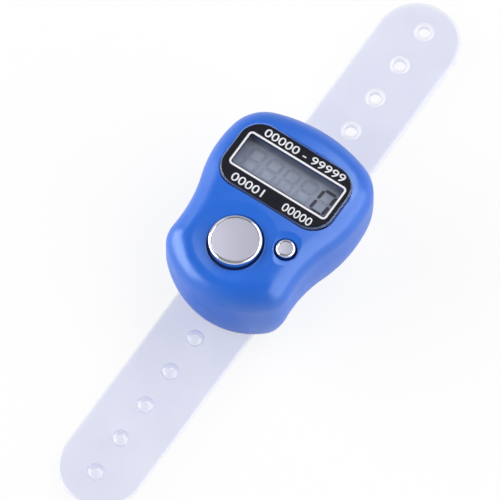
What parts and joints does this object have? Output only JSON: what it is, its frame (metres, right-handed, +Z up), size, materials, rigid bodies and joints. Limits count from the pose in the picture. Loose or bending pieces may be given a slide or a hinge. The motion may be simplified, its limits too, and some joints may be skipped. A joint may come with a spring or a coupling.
{
  "type": "finger tally counter",
  "caption": "Pick-shaped finger tally counter with a small digital display, a large count button and a small reset button, on a clear snap-fastening strap; used as a digital tasbih.",
  "frame": {"origin": "on the resting plane of the rear cover, under the middle of the case", "axes": "+Z up through the display, +Y along the strap towards its holed end, +X to the right of the display"},
  "size_m": [0.0286, 0.111, 0.02],
  "materials": {
    "case_blue": "glossy royal blue moulding",
    "clear_lens": "clear acrylic, polished",
    "black_film": "black printed film",
    "polariser_film": "grey polarising film",
    "display_glass": "thin clear glass",
    "reflector_film": "matt silver reflector film",
    "holder_white": "white moulding",
    "zebra_rubber": "layered conductive rubber",
    "board_green": "green solder mask",
    "blob_black": "black epoxy",
    "capacitor_tan": "tan ceramic chip",
    "resistor_black": "black ceramic chip",
    "button_chrome": "plastic with bright and satin silver plating",
    "dome_rubber": "translucent soft silicone",
    "pill_carbon": "carbon-filled rubber",
    "cell_steel": "nickel-plated steel",
    "contact_metal": "tinned spring steel",
    "screw_steel": "zinc-plated steel",
    "strap_clear": "clear soft vinyl with a faint lavender tint"
  },
  "bodies": {
    "case": {"front_case": "case_blue", "rear_cover": "case_blue", "display_lens": "clear_lens", "label_film": "black_film", "lcd_front_polariser": "polariser_film", "lcd_front_glass": "display_glass", "lcd_rear_glass": "display_glass", "lcd_reflector": "reflector_film", "lcd_holder": "holder_white", "zebra_strip": "zebra_rubber", "circuit_board": "board_green", "chip_blob": "blob_black", "chip_capacitor": "capacitor_tan", "chip_resistor": "resistor_black", "count_dome": "dome_rubber", "reset_dome": "dome_rubber", "button_cell": "cell_steel", "negative_spring": "contact_metal", "positive_clip": "contact_metal", "case_screws": "screw_steel", "board_screws": "screw_steel", "strap_centre": "strap_clear"},
    "count_key": {"count_button": "button_chrome", "count_pill": "pill_carbon"},
    "reset_key": {"reset_button": "button_chrome", "reset_pill": "pill_carbon"},
    "holed_strap": {"strap_hole_half": "strap_clear"},
    "studded_strap": {"strap_stud_half": "strap_clear"}
  },
  "joints": [
    {"name": "count_press", "type": "slide", "parent": "case", "child": "count_key", "axis": [0, 0, -1], "range_m": [0, 0.0008], "stiffness_N_per_m": 1200, "springref_m": -0.0005, "deforming": ["count_dome"]},
    {"name": "reset_press", "type": "slide", "parent": "case", "child": "reset_key", "axis": [0, 0, -1], "range_m": [0, 0.0006], "stiffness_N_per_m": 1500, "springref_m": -0.0005, "deforming": ["reset_dome"]},
    {"name": "holed_strap_fold", "type": "hinge", "parent": "case", "child": "holed_strap", "pos_m": [0, 0.0179, 0.002], "axis": [-1, 0, 0], "range_deg": [-10, 90], "stiffness_Nm_per_rad": 0.002},
    {"name": "studded_strap_fold", "type": "hinge", "parent": "case", "child": "studded_strap", "pos_m": [0, -0.0179, 0.002], "axis": [1, 0, 0], "range_deg": [-10, 90], "stiffness_Nm_per_rad": 0.002}
  ]
}
